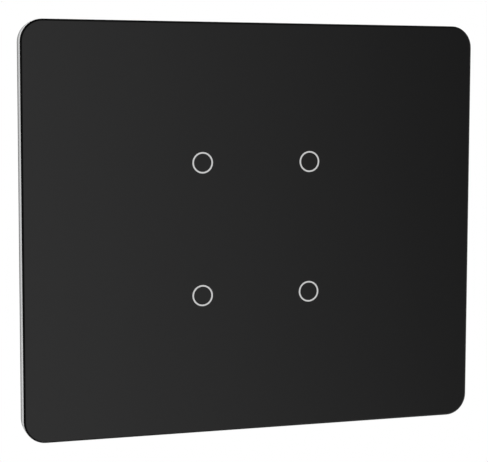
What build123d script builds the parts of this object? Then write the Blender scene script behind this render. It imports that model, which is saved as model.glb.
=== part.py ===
from build123d import *
import os

# Four-gang touch light switch with a black glass front.
# Millimetres. The wall is the plane Y = 0, the room is at -Y, the wall box at +Y and Z is up.
# The origin lies midway between the two wall-box screws.

# Glass front
PLATE_WIDTH = 99.4
PLATE_HEIGHT = 86.0
PLATE_CORNER_RADIUS = 4.6
GLASS_THICKNESS = 3.0
FRONT_ARRIS = 0.4
REAR_ARRIS = 0.2

# Enamel ring of each gang
RING_SPACING_X = 23.7
RING_SPACING_Z = 27.8
RING_MID_DIAMETER = 4.13
RING_STROKE = 0.32
RING_HEIGHT = 0.06

# Frame behind the glass
ADHESIVE_THICKNESS = 0.2
ADHESIVE_MARGIN = 1.5
FLANGE_INSET = 0.1
FLANGE_THICKNESS = 1.0
SKIRT_INSET = 3.0
SKIRT_WALL = 1.6
SKIRT_DEPTH = 4.6
WINDOW_GAP = 0.6
COLLAR_WALL = 1.2
RIB_HEIGHT = 1.6
RIB_THICKNESS = 1.0
RIB_SPREAD_X = 30.0
RIB_SPREAD_Z = 22.0
PRISE_NOTCH_WIDTH = 9.0
PRISE_NOTCH_DEPTH = 1.8

# Push-fit pegs and the rubber grommets that grip them
PEG_WIDTH = 6.0
PEG_THICKNESS = 2.4
PEG_REACH = 2.8
PEG_TIP_CHAMFER = 0.6
PEG_ROOT_WIDTH = 8.0
PEG_ROOT_THICKNESS = 4.0
PEG_ROOT_HEIGHT = 1.8
PEG_OFFSET = 4.2
PEG_SPACING_Z = 44.0
PEG_FIT = 0.05
GROMMET_WALL = 0.8
GROMMET_LIP = 0.7
GROMMET_FLANGE = 0.8
GROMMET_FIT = 0.05

# Steel yoke and its slots for the two wall-box screws
YOKE_THICKNESS = 1.2
YOKE_GAP = 3.6
YOKE_CORNER_RADIUS = 4.0
YOKE_LAND = 7.0
BOX_SCREW_SPACING = 60.3
BOX_SLOT_WIDTH = 4.0
BOX_SLOT_LENGTH = 7.0

# Boards and the connector between them
TOUCH_BOARD_THICKNESS = 1.2
INSULATION_THICKNESS = 0.25
POWER_BOARD_SETBACK = 5.0
POWER_BOARD_THICKNESS = 1.6
BOARD_CLEARANCE = 0.2
HEADER_PINS = 6
HEADER_PITCH = 2.0
HEADER_WIDTH = 2.5
HEADER_BODY_HEIGHT = 2.35
HEADER_PIN_SIZE = 0.5
HEADER_PIN_PLUG = 3.2
HEADER_PIN_TAIL = 0.6
PIN_CLEARANCE = 0.15

# Touch springs, lamps and sensing chip
SPRING_SIZE = 8.0
SPRING_WINDOW = 4.6
SPRING_THICKNESS = 0.3
SPRING_LEG_WIDTH = 3.0
SPRING_LEG_LEAN = 1.2
SPRING_FOOT = 1.2
LED_LENGTH = 2.0
LED_WIDTH = 1.25
LED_HEIGHT = 0.8
LED_CHAMFER = 0.2
CHIP_SIZE = 7.0
CHIP_HEIGHT = 1.0
CHIP_CHAMFER = 0.2
CHIP_BELOW_CENTRE = 9.0

# Cover over the touch board
COVER_GLASS_GAP = 0.5
COVER_WALL = 1.2
COVER_OVERHANG = 1.0
COVER_CORNER_RADIUS = 3.0
COVER_LEDGE = 1.0
COVER_EDGE_CHAMFER = 0.4
SPRING_HOLE_GAP = 0.5

# Supply parts and relays on the power board
RELAY_LENGTH = 18.4
RELAY_WIDTH = 10.0
RELAY_HEIGHT = 15.0
RELAY_GAP = 0.6
CASE_EDGE = 0.5
POWER_MODULE_LENGTH = 20.0
POWER_MODULE_WIDTH = 14.0
POWER_MODULE_HEIGHT = 13.0
CAPACITOR_LENGTH = 13.0
CAPACITOR_THICKNESS = 6.0
CAPACITOR_HEIGHT = 12.0
VARISTOR_DIAMETER = 9.0
VARISTOR_THICKNESS = 3.8
FUSE_LENGTH = 8.4
FUSE_THICKNESS = 4.2
FUSE_HEIGHT = 8.0
MID_GAP = 1.5
ROW_GAP = 3.0
TOP_MARGIN = 5.0
SIDE_MARGIN = 2.4

# Leads of these parts, which pass through the power board
LEAD_SIZE = 0.6
LEAD_TAIL = 1.0
LEAD_INSET = 1.6
LEAD_HOLE_GAP = 0.15
CAPACITOR_LEAD_SPACING = 10.0
VARISTOR_LEAD_SPACING = 5.0
FUSE_LEAD_SPACING = 5.0

# Terminal block, screws and rising clamps
TERMINAL_COUNT = 6
TERMINAL_PITCH = 6.0
PARTITION = 0.9
BLOCK_WALL = 1.4
BLOCK_CLEARANCE = 0.3
SCREW_DIAMETER = 2.6
SCREW_HEAD_DIAMETER = 3.8
SCREW_HEAD_HEIGHT = 1.8
SCREW_HEAD_RECESS = 0.6
SCREW_SLOT_WIDTH = 0.7
SCREW_SLOT_DEPTH = 0.9
SCREW_LEDGE = 1.2
SCREW_FIT = 0.05
SCREW_HOLE_GAP = 0.2
CLAMP_DEPTH = 5.0
CLAMP_TOP = 1.2
CLAMP_FLOOR = 1.0
CLAMP_WALL = 0.7
CLAMP_CLEARANCE = 0.2
CLAMP_FLOOR_GAP = 0.8
CLAMPED_GAP = 0.6
WIRE_SPACE = 2.8
WIRE_WINDOW_WIDTH = 3.2
WIRE_LEAD_IN = 0.4
SCREW_REACH = 2.6
CONTACT_THICKNESS = 0.8
CONTACT_BEND_GAP = 1.2
CONTACT_TAIL_WIDTH = 1.6
CONTACT_TAIL = 1.2
CONTACT_HOLE_GAP = 0.15

# Rear housing, the two long screws and the two locating legs of the cover
HOUSING_WALL = 1.6
HOUSING_CORNER_RADIUS = 2.5
HOUSING_EDGE_CHAMFER = 0.8
COMPONENT_CLEARANCE = 0.8
COLUMN_SIZE = 5.2
COLUMN_TO_FACE = 2.8
COLUMN_LAND = 0.4
BOARD_REST_DEPTH = 1.2
BOARD_REST_WIDTH = 2.0
VENT_LENGTH = 12.0
VENT_WIDTH = 1.6
VENT_PITCH = 3.6
VENT_ROWS = 5
LONG_SCREW_DIAMETER = 2.2
LONG_SCREW_HEAD_DIAMETER = 3.8
LONG_SCREW_HEAD_HEIGHT = 1.5
LONG_SCREW_RECESS = 0.4
LONG_SCREW_GRIP = 3.0
LONG_SCREW_CLEARANCE = 0.1
LONG_SCREW_SLOT_WIDTH = 0.6
LONG_SCREW_SLOT_DEPTH = 0.75
LEG_SIZE = 2.6
LEG_REACH = 5.0
LEG_FIT = 0.1

# Layers from the wall out to the room; Y grows into the wall
yoke_front = -YOKE_THICKNESS
touch_board_rear = yoke_front - INSULATION_THICKNESS
touch_board_front = touch_board_rear - TOUCH_BOARD_THICKNESS
flange_rear = -SKIRT_DEPTH
flange_front = flange_rear - FLANGE_THICKNESS
glass_rear = flange_front - ADHESIVE_THICKNESS
glass_front = glass_rear - GLASS_THICKNESS
cover_front = glass_rear + COVER_GLASS_GAP

# Layers behind the wall face
power_board_front = POWER_BOARD_SETBACK
power_board_rear = power_board_front + POWER_BOARD_THICKNESS
clamp_inside = WIRE_SPACE + CONTACT_THICKNESS + SCREW_REACH
clamp_length = CLAMP_FLOOR + clamp_inside + CLAMP_TOP
clamp_travel = WIRE_SPACE - CLAMPED_GAP
screw_stack = SCREW_HEAD_RECESS + SCREW_HEAD_HEIGHT + SCREW_LEDGE
terminal_stack = screw_stack + CLAMP_CLEARANCE + clamp_travel + clamp_length + CLAMP_FLOOR_GAP
tallest = max(RELAY_HEIGHT, POWER_MODULE_HEIGHT, CAPACITOR_HEIGHT, VARISTOR_DIAMETER, FUSE_HEIGHT)
component_stack = tallest + COMPONENT_CLEARANCE + HOUSING_WALL
housing_depth = power_board_rear + max(terminal_stack, component_stack)

# Widths and heights of the housing follow from what it holds
block_width = TERMINAL_COUNT * TERMINAL_PITCH + PARTITION
clamp_zone = CLAMP_DEPTH + 2 * CLAMP_CLEARANCE
pocket_height = clamp_zone + CONTACT_BEND_GAP + CONTACT_THICKNESS
block_height = pocket_height + 2 * BLOCK_WALL
mid_width = (POWER_MODULE_LENGTH + CAPACITOR_THICKNESS + VARISTOR_THICKNESS + FUSE_THICKNESS
             + 3 * MID_GAP)
relay_width_all = 2 * RELAY_LENGTH + RELAY_GAP
block_row = block_width + 2 * (BLOCK_CLEARANCE + COLUMN_LAND) + COLUMN_SIZE + 2 * COLUMN_TO_FACE
part_row = max(mid_width, relay_width_all) + 2 * (SIDE_MARGIN + HOUSING_WALL)
housing_width = max(block_row, part_row)
mid_height = max(POWER_MODULE_WIDTH, CAPACITOR_LENGTH, VARISTOR_DIAMETER, FUSE_LENGTH)
relay_rows = 2 * RELAY_WIDTH + RELAY_GAP
housing_height = (HOUSING_WALL + TOP_MARGIN + relay_rows + ROW_GAP + mid_height + ROW_GAP
                  + block_height)
housing_inner_width = housing_width - 2 * HOUSING_WALL
housing_inner_height = housing_height - 2 * HOUSING_WALL
column_x = housing_width / 2 - COLUMN_TO_FACE
column_z = housing_height / 2 - COLUMN_TO_FACE
relay_top = housing_height / 2 - HOUSING_WALL - TOP_MARGIN
relay_middle = relay_top - relay_rows / 2
mid_middle = relay_top - relay_rows - ROW_GAP - mid_height / 2
low_rest_middle = mid_middle - mid_height / 2 - ROW_GAP / 2
block_bottom = -housing_height / 2
block_middle = block_bottom + block_height / 2

# Cover, window and yoke follow from the housing
cover_width = housing_width + 2 * COVER_OVERHANG
cover_height = housing_height + 2 * COVER_OVERHANG
recess_width = cover_width - 2 * COVER_WALL
recess_height = cover_height - 2 * COVER_WALL
recess_notch = COVER_OVERHANG - COVER_WALL + COLUMN_TO_FACE + COLUMN_SIZE / 2
housing_notch = COLUMN_TO_FACE - HOUSING_WALL + COLUMN_SIZE / 2
window_width = cover_width + 2 * WINDOW_GAP
window_height = cover_height + 2 * WINDOW_GAP
flange_width = PLATE_WIDTH - 2 * FLANGE_INSET
flange_height = PLATE_HEIGHT - 2 * FLANGE_INSET
skirt_width = PLATE_WIDTH - 2 * SKIRT_INSET
skirt_height = PLATE_HEIGHT - 2 * SKIRT_INSET
yoke_width = skirt_width - 2 * (SKIRT_WALL + YOKE_GAP)
yoke_height = skirt_height - 2 * (SKIRT_WALL + YOKE_GAP)
opening_width = housing_width - 2 * YOKE_LAND
opening_height = housing_height - 2 * YOKE_LAND
peg_x = cover_width / 2 + PEG_OFFSET

# Places, as X and Z pairs seen from the room
gang_places = [
    (-RING_SPACING_X / 2, RING_SPACING_Z / 2),
    (RING_SPACING_X / 2, RING_SPACING_Z / 2),
    (-RING_SPACING_X / 2, -RING_SPACING_Z / 2),
    (RING_SPACING_X / 2, -RING_SPACING_Z / 2),
]
relay_step_x = (RELAY_LENGTH + RELAY_GAP) / 2
relay_step_z = (RELAY_WIDTH + RELAY_GAP) / 2
relay_places = [
    (-relay_step_x, relay_middle + relay_step_z),
    (relay_step_x, relay_middle + relay_step_z),
    (-relay_step_x, relay_middle - relay_step_z),
    (relay_step_x, relay_middle - relay_step_z),
]
terminal_places = [(step - (TERMINAL_COUNT - 1) / 2) * TERMINAL_PITCH for step in range(TERMINAL_COUNT)]
module_x = -mid_width / 2 + POWER_MODULE_LENGTH / 2
capacitor_x = module_x + (POWER_MODULE_LENGTH + CAPACITOR_THICKNESS) / 2 + MID_GAP
varistor_x = capacitor_x + (CAPACITOR_THICKNESS + VARISTOR_THICKNESS) / 2 + MID_GAP
fuse_x = varistor_x + (VARISTOR_THICKNESS + FUSE_THICKNESS) / 2 + MID_GAP
relay_lead_x = RELAY_LENGTH - 2 * LEAD_INSET
relay_lead_z = RELAY_WIDTH - 2 * LEAD_INSET
module_lead_x = POWER_MODULE_LENGTH - 2 * LEAD_INSET
module_lead_z = POWER_MODULE_WIDTH - 2 * LEAD_INSET
lead_length = POWER_BOARD_THICKNESS + LEAD_TAIL
lead_hole = LEAD_SIZE + 2 * LEAD_HOLE_GAP


def at_depth(depth):
    """Plane parallel to the wall, drawn as seen from the room, at this Y."""
    return Plane.XZ.offset(-depth)


def notched_outline(width, height, notch):
    """Rectangle with its four corners cut away for the screw columns."""
    Rectangle(width, height)
    with GridLocations(width, height, 2, 2):
        Rectangle(2 * notch, 2 * notch, mode=Mode.SUBTRACT)


def four_leads(place, spacing_x, spacing_z, size, mode=Mode.ADD):
    """Four square leads under a case, or the holes for them."""
    with Locations(place):
        with GridLocations(spacing_x, spacing_z, 2, 2):
            Rectangle(size, size, mode=mode)


def two_leads(place, spacing, size, mode=Mode.ADD):
    """Two square leads, one above the other, or the holes for them."""
    with Locations(place):
        with GridLocations(0, spacing, 1, 2):
            Rectangle(size, size, mode=mode)


def keep(piece, name):
    """Label a finished piece and write its STEP file."""
    piece.part.label = name
    export_step(piece.part, f"parts/{name}.step")


os.makedirs("parts", exist_ok=True)

# Glass panel
with BuildPart() as glass_panel:
    with BuildSketch(at_depth(glass_rear)):
        RectangleRounded(PLATE_WIDTH, PLATE_HEIGHT, PLATE_CORNER_RADIUS)
    extrude(amount=GLASS_THICKNESS)
    chamfer(glass_panel.faces().sort_by(Axis.Y)[0].edges(), length=FRONT_ARRIS)
    chamfer(glass_panel.faces().sort_by(Axis.Y)[-1].edges(), length=REAR_ARRIS)
keep(glass_panel, "glass_panel")

# Enamel ring of each gang, fired onto the front of the glass
for gang, place in enumerate(gang_places, start=1):
    with BuildPart() as ring_mark:
        with BuildSketch(at_depth(glass_front)):
            with Locations(place):
                Circle((RING_MID_DIAMETER + RING_STROKE) / 2)
                Circle((RING_MID_DIAMETER - RING_STROKE) / 2, mode=Mode.SUBTRACT)
        extrude(amount=RING_HEIGHT)
    keep(ring_mark, f"ring_mark_{gang}")

# Adhesive sheet between glass and frame
with BuildPart() as adhesive_sheet:
    with BuildSketch(at_depth(flange_front)):
        Rectangle(flange_width - 2 * ADHESIVE_MARGIN, flange_height - 2 * ADHESIVE_MARGIN)
        Rectangle(window_width + 2 * ADHESIVE_MARGIN, window_height + 2 * ADHESIVE_MARGIN,
                  mode=Mode.SUBTRACT)
    extrude(amount=ADHESIVE_THICKNESS)
keep(adhesive_sheet, "adhesive_sheet")

# Frame: flange under the glass, skirt down to the wall, window collar, ribs and pegs
skirt_radius = PLATE_CORNER_RADIUS - SKIRT_INSET + SKIRT_WALL
inner_skirt_width = skirt_width - 2 * SKIRT_WALL
inner_skirt_height = skirt_height - 2 * SKIRT_WALL
collar_width = window_width + 2 * COLLAR_WALL
collar_height = window_height + 2 * COLLAR_WALL
peg_places = [(x * peg_x, z * PEG_SPACING_Z / 2) for x in (-1, 1) for z in (-1, 1)]
side_rib = (inner_skirt_width - collar_width) / 2
end_rib = (inner_skirt_height - collar_height) / 2
with BuildPart() as panel_frame:
    with BuildSketch(at_depth(flange_rear)):
        RectangleRounded(flange_width, flange_height, PLATE_CORNER_RADIUS - FLANGE_INSET)
    extrude(amount=FLANGE_THICKNESS)
    with BuildSketch(at_depth(0)):
        RectangleRounded(skirt_width, skirt_height, skirt_radius)
        RectangleRounded(inner_skirt_width, inner_skirt_height, skirt_radius / 2, mode=Mode.SUBTRACT)
    extrude(amount=SKIRT_DEPTH)
    with BuildSketch(at_depth(flange_rear + RIB_HEIGHT)):
        Rectangle(collar_width, collar_height)
        with GridLocations(collar_width + side_rib, RIB_SPREAD_Z, 2, 2):
            Rectangle(side_rib + COLLAR_WALL, RIB_THICKNESS)
        with GridLocations(RIB_SPREAD_X, collar_height + end_rib, 2, 2):
            Rectangle(RIB_THICKNESS, end_rib + COLLAR_WALL)
    extrude(amount=RIB_HEIGHT)
    with BuildSketch(at_depth(flange_rear + PEG_ROOT_HEIGHT)):
        with Locations(*peg_places):
            Rectangle(PEG_ROOT_THICKNESS, PEG_ROOT_WIDTH)
    extrude(amount=PEG_ROOT_HEIGHT)
    with BuildSketch(at_depth(PEG_REACH)):
        with Locations(*peg_places):
            Rectangle(PEG_THICKNESS, PEG_WIDTH)
    extrude(amount=PEG_REACH + SKIRT_DEPTH)
    peg_tips = panel_frame.faces().filter_by(Axis.Y).sort_by(Axis.Y)[-len(peg_places):]
    chamfer(peg_tips.edges(), length=PEG_TIP_CHAMFER)
    with BuildSketch(at_depth(0)):
        Rectangle(window_width, window_height)
    extrude(amount=SKIRT_DEPTH + FLANGE_THICKNESS, mode=Mode.SUBTRACT)
    with BuildSketch(at_depth(0)):
        with Locations((0, -skirt_height / 2)):
            Rectangle(PRISE_NOTCH_WIDTH, 4 * SKIRT_WALL)
    extrude(amount=PRISE_NOTCH_DEPTH, mode=Mode.SUBTRACT)
keep(panel_frame, "panel_frame")

# Steel yoke
screw_places = [(-column_x, column_z), (column_x, -column_z)]
leg_places = [(column_x, column_z), (-column_x, -column_z)]
leg_hole = LEG_SIZE + 2 * LEG_FIT
long_screw_hole = LONG_SCREW_DIAMETER / 2 + LONG_SCREW_CLEARANCE
waist_width = PEG_WIDTH + 2 * (PEG_FIT + GROMMET_WALL)
waist_thickness = PEG_THICKNESS + 2 * (PEG_FIT + GROMMET_WALL)
with BuildPart() as mounting_yoke:
    with BuildSketch(at_depth(0)):
        RectangleRounded(yoke_width, yoke_height, YOKE_CORNER_RADIUS)
        Rectangle(opening_width, opening_height, mode=Mode.SUBTRACT)
        with GridLocations(BOX_SCREW_SPACING, 0, 2, 1):
            SlotOverall(BOX_SLOT_LENGTH, BOX_SLOT_WIDTH, mode=Mode.SUBTRACT)
        with Locations(*peg_places):
            Rectangle(waist_thickness + 2 * GROMMET_FIT, waist_width + 2 * GROMMET_FIT, mode=Mode.SUBTRACT)
        with Locations(*screw_places):
            Circle(long_screw_hole, mode=Mode.SUBTRACT)
        with Locations(*leg_places):
            Rectangle(leg_hole, leg_hole, mode=Mode.SUBTRACT)
    extrude(amount=YOKE_THICKNESS)
keep(mounting_yoke, "mounting_yoke")

# Rubber grommets that grip the pegs
grommet_length = YOKE_THICKNESS + 2 * GROMMET_FLANGE
for number, place in enumerate(peg_places, start=1):
    with BuildPart() as peg_grommet:
        with BuildSketch(at_depth(GROMMET_FLANGE)):
            with Locations(place):
                Rectangle(waist_thickness, waist_width)
        extrude(amount=grommet_length)
        for flange_back in (GROMMET_FLANGE, yoke_front):
            with BuildSketch(at_depth(flange_back)):
                with Locations(place):
                    Rectangle(waist_thickness + 2 * GROMMET_LIP, waist_width + 2 * GROMMET_LIP)
            extrude(amount=GROMMET_FLANGE)
        with BuildSketch(at_depth(GROMMET_FLANGE)):
            with Locations(place):
                Rectangle(PEG_THICKNESS + 2 * PEG_FIT, PEG_WIDTH + 2 * PEG_FIT)
        extrude(amount=grommet_length, mode=Mode.SUBTRACT)
    keep(peg_grommet, f"peg_grommet_{number}")

# Cover over the touch board, with a hole for each spring
spring_hole = SPRING_SIZE + 2 * SPRING_HOLE_GAP
with BuildPart() as module_cover:
    with BuildSketch(at_depth(yoke_front)):
        RectangleRounded(cover_width, cover_height, COVER_CORNER_RADIUS)
    extrude(amount=yoke_front - cover_front)
    chamfer(module_cover.faces().sort_by(Axis.Y)[0].edges(), length=COVER_EDGE_CHAMFER)
    with BuildSketch(at_depth(yoke_front)):
        notched_outline(recess_width, recess_height, recess_notch)
    extrude(amount=yoke_front - touch_board_front, mode=Mode.SUBTRACT)
    with BuildSketch(at_depth(touch_board_front)):
        notched_outline(recess_width - 2 * COVER_LEDGE, recess_height - 2 * COVER_LEDGE,
                        recess_notch)
    extrude(amount=touch_board_front - cover_front - COVER_WALL, mode=Mode.SUBTRACT)
    with BuildSketch(at_depth(yoke_front)):
        with Locations(*gang_places):
            Rectangle(spring_hole, spring_hole)
    extrude(amount=yoke_front - cover_front, mode=Mode.SUBTRACT)
    with BuildSketch(at_depth(yoke_front)):
        with Locations(*screw_places):
            Circle(long_screw_hole)
    extrude(amount=LONG_SCREW_GRIP + LONG_SCREW_CLEARANCE, mode=Mode.SUBTRACT)
    with BuildSketch(at_depth(LEG_REACH)):
        with Locations(*leg_places):
            Rectangle(LEG_SIZE, LEG_SIZE)
    extrude(amount=LEG_REACH + YOKE_THICKNESS)
keep(module_cover, "module_cover")

# Plug connection between the boards: pins in a row up the middle, between the relay columns
header_length = HEADER_PINS * HEADER_PITCH
socket_front = touch_board_rear + HEADER_BODY_HEIGHT
pin_hole = HEADER_PIN_SIZE + 2 * PIN_CLEARANCE
pin_places = [
    (0, relay_middle + (step - (HEADER_PINS - 1) / 2) * HEADER_PITCH) for step in range(HEADER_PINS)
]

# Touch board and the insulation behind it
with BuildPart() as touch_board:
    with BuildSketch(at_depth(touch_board_rear)):
        notched_outline(recess_width - 2 * BOARD_CLEARANCE, recess_height - 2 * BOARD_CLEARANCE,
                        recess_notch)
        with Locations(*pin_places):
            Rectangle(pin_hole, pin_hole, mode=Mode.SUBTRACT)
    extrude(amount=TOUCH_BOARD_THICKNESS)
keep(touch_board, "touch_board")

with BuildPart() as insulation_sheet:
    with BuildSketch(at_depth(yoke_front)):
        notched_outline(recess_width - 2 * BOARD_CLEARANCE, recess_height - 2 * BOARD_CLEARANCE,
                        recess_notch)
        Rectangle(opening_width, opening_height, mode=Mode.SUBTRACT)
    extrude(amount=INSULATION_THICKNESS)
keep(insulation_sheet, "insulation_sheet")

with BuildPart() as pin_header:
    with BuildSketch(at_depth(socket_front)):
        with Locations((0, relay_middle)):
            Rectangle(HEADER_WIDTH, header_length)
    extrude(amount=HEADER_BODY_HEIGHT)
    with BuildSketch(at_depth(socket_front + HEADER_PIN_PLUG)):
        with Locations(*pin_places):
            Rectangle(HEADER_PIN_SIZE, HEADER_PIN_SIZE)
    extrude(amount=HEADER_PIN_PLUG + HEADER_BODY_HEIGHT + TOUCH_BOARD_THICKNESS + HEADER_PIN_TAIL)
keep(pin_header, "pin_header")

with BuildPart() as header_socket:
    with BuildSketch(at_depth(power_board_front)):
        with Locations((0, relay_middle)):
            Rectangle(HEADER_WIDTH, header_length)
    extrude(amount=power_board_front - socket_front)
    with BuildSketch(at_depth(socket_front)):
        with Locations(*pin_places):
            Rectangle(pin_hole, pin_hole)
    extrude(amount=-HEADER_PIN_PLUG - PIN_CLEARANCE, mode=Mode.SUBTRACT)
keep(header_socket, "header_socket")

# Stamped touch springs: a square ring against the glass on two leaning legs, with a lamp inside
foot_end = SPRING_SIZE / 2 - SPRING_LEG_LEAN
leg_slant = SPRING_THICKNESS + SPRING_THICKNESS * SPRING_LEG_LEAN / 2
for gang, (x, z) in enumerate(gang_places, start=1):
    with BuildPart() as touch_spring:
        with BuildSketch(at_depth(glass_rear + SPRING_THICKNESS)):
            with Locations((x, z)):
                Rectangle(SPRING_SIZE, SPRING_SIZE)
                Rectangle(SPRING_WINDOW, SPRING_WINDOW, mode=Mode.SUBTRACT)
        extrude(amount=SPRING_THICKNESS)
        for side in (-1, 1):
            with BuildSketch(Plane.XY.offset(z - SPRING_LEG_WIDTH / 2)):
                with BuildLine():
                    Polyline(
                        (x + side * SPRING_SIZE / 2, glass_rear),
                        (x + side * foot_end, touch_board_front),
                        (x + side * (foot_end - SPRING_FOOT), touch_board_front),
                        (x + side * (foot_end - SPRING_FOOT), touch_board_front - SPRING_THICKNESS),
                        (x + side * (foot_end - leg_slant / 2), touch_board_front - SPRING_THICKNESS),
                        (x + side * (SPRING_SIZE / 2 - leg_slant), glass_rear),
                        close=True,
                    )
                make_face()
            extrude(amount=SPRING_LEG_WIDTH)
    keep(touch_spring, f"touch_spring_{gang}")

    with BuildPart() as indicator_led:
        with BuildSketch(at_depth(touch_board_front)):
            with Locations((x, z)):
                Rectangle(LED_LENGTH, LED_WIDTH)
        extrude(amount=LED_HEIGHT)
        chamfer(indicator_led.faces().sort_by(Axis.Y)[0].edges(), length=LED_CHAMFER)
    keep(indicator_led, f"indicator_led_{gang}")

with BuildPart() as touch_chip:
    with BuildSketch(at_depth(touch_board_rear)):
        with Locations((0, -CHIP_BELOW_CENTRE)):
            Rectangle(CHIP_SIZE, CHIP_SIZE)
    extrude(amount=-CHIP_HEIGHT)
    chamfer(touch_chip.faces().sort_by(Axis.Y)[-1].edges(), length=CHIP_CHAMFER)
keep(touch_chip, "touch_chip")

# Relays, one for each gang
for gang, place in enumerate(relay_places, start=1):
    with BuildPart() as relay:
        with BuildSketch(at_depth(power_board_rear)):
            with Locations(place):
                Rectangle(RELAY_LENGTH, RELAY_WIDTH)
        extrude(amount=-RELAY_HEIGHT)
        chamfer(relay.edges().filter_by(Axis.Y), length=CASE_EDGE)
        chamfer(relay.faces().sort_by(Axis.Y)[-1].edges(), length=CASE_EDGE)
        with BuildSketch(at_depth(power_board_rear)):
            four_leads(place, relay_lead_x, relay_lead_z, LEAD_SIZE)
        extrude(amount=lead_length)
    keep(relay, f"relay_{gang}")

# Supply parts in the row below the relays
with BuildPart() as power_module:
    with BuildSketch(at_depth(power_board_rear)):
        with Locations((module_x, mid_middle)):
            Rectangle(POWER_MODULE_LENGTH, POWER_MODULE_WIDTH)
    extrude(amount=-POWER_MODULE_HEIGHT)
    chamfer(power_module.edges().filter_by(Axis.Y), length=CASE_EDGE)
    with BuildSketch(at_depth(power_board_rear)):
        four_leads((module_x, mid_middle), module_lead_x, module_lead_z, LEAD_SIZE)
    extrude(amount=lead_length)
keep(power_module, "power_module")

with BuildPart() as filter_capacitor:
    with BuildSketch(at_depth(power_board_rear)):
        with Locations((capacitor_x, mid_middle)):
            Rectangle(CAPACITOR_THICKNESS, CAPACITOR_LENGTH)
    extrude(amount=-CAPACITOR_HEIGHT)
    chamfer(filter_capacitor.edges().filter_by(Axis.Y), length=CASE_EDGE)
    with BuildSketch(at_depth(power_board_rear)):
        two_leads((capacitor_x, mid_middle), CAPACITOR_LEAD_SPACING, LEAD_SIZE)
    extrude(amount=lead_length)
keep(filter_capacitor, "filter_capacitor")

with BuildPart() as varistor:
    with BuildSketch(Plane.YZ.offset(varistor_x - VARISTOR_THICKNESS / 2)):
        with Locations((power_board_rear + VARISTOR_DIAMETER / 2, mid_middle)):
            Circle(VARISTOR_DIAMETER / 2)
    extrude(amount=VARISTOR_THICKNESS)
    with BuildSketch(at_depth(power_board_rear + VARISTOR_DIAMETER / 2)):
        two_leads((varistor_x, mid_middle), VARISTOR_LEAD_SPACING, LEAD_SIZE)
    extrude(amount=VARISTOR_DIAMETER / 2 + lead_length)
keep(varistor, "varistor")

with BuildPart() as fuse:
    with BuildSketch(at_depth(power_board_rear)):
        with Locations((fuse_x, mid_middle)):
            Rectangle(FUSE_THICKNESS, FUSE_LENGTH)
    extrude(amount=-FUSE_HEIGHT)
    chamfer(fuse.edges().filter_by(Axis.Y), length=CASE_EDGE)
    with BuildSketch(at_depth(power_board_rear)):
        two_leads((fuse_x, mid_middle), FUSE_LEAD_SPACING, LEAD_SIZE)
    extrude(amount=lead_length)
keep(fuse, "fuse")

# Six-pole terminal block, open towards the board, screws at the rear, wires from below
block_rear = housing_depth
head_seat = block_rear - SCREW_HEAD_RECESS - SCREW_HEAD_HEIGHT
pocket_rear = head_seat - SCREW_LEDGE
clamp_rear = pocket_rear - CLAMP_CLEARANCE - clamp_travel
contact_rear = clamp_rear - CLAMP_TOP - SCREW_REACH
contact_front = contact_rear - CONTACT_THICKNESS
pocket_width = TERMINAL_PITCH - PARTITION
pocket_middle = block_bottom + BLOCK_WALL + pocket_height / 2
screw_z = block_bottom + BLOCK_WALL + clamp_zone / 2
window_middle = contact_front - WIRE_SPACE / 2
ledge_hole = SCREW_DIAMETER + 2 * SCREW_HOLE_GAP
with BuildPart() as terminal_block:
    with BuildSketch(at_depth(block_rear)):
        with Locations((0, block_middle)):
            Rectangle(block_width, block_height)
    extrude(amount=block_rear - power_board_rear)
    with BuildSketch(at_depth(pocket_rear)):
        with Locations(*[(x, pocket_middle) for x in terminal_places]):
            Rectangle(pocket_width, pocket_height)
    extrude(amount=pocket_rear - power_board_rear, mode=Mode.SUBTRACT)
    with BuildSketch(at_depth(block_rear)):
        with Locations(*[(x, screw_z) for x in terminal_places]):
            Circle(SCREW_HEAD_DIAMETER / 2 + SCREW_HOLE_GAP)
    extrude(amount=block_rear - head_seat, mode=Mode.SUBTRACT)
    with BuildSketch(at_depth(head_seat)):
        with Locations(*[(x, screw_z) for x in terminal_places]):
            Rectangle(ledge_hole, ledge_hole)
    extrude(amount=SCREW_LEDGE, mode=Mode.SUBTRACT)
    with BuildSketch(Plane.XY.offset(block_bottom)):
        with Locations(*[(x, window_middle) for x in terminal_places]):
            Rectangle(WIRE_WINDOW_WIDTH, WIRE_SPACE)
    extrude(amount=BLOCK_WALL, mode=Mode.SUBTRACT)
    bottom_face = terminal_block.faces().sort_by(Axis.Z)[0]
    chamfer(bottom_face.inner_wires().edges(), length=WIRE_LEAD_IN)
keep(terminal_block, "terminal_block")

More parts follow.
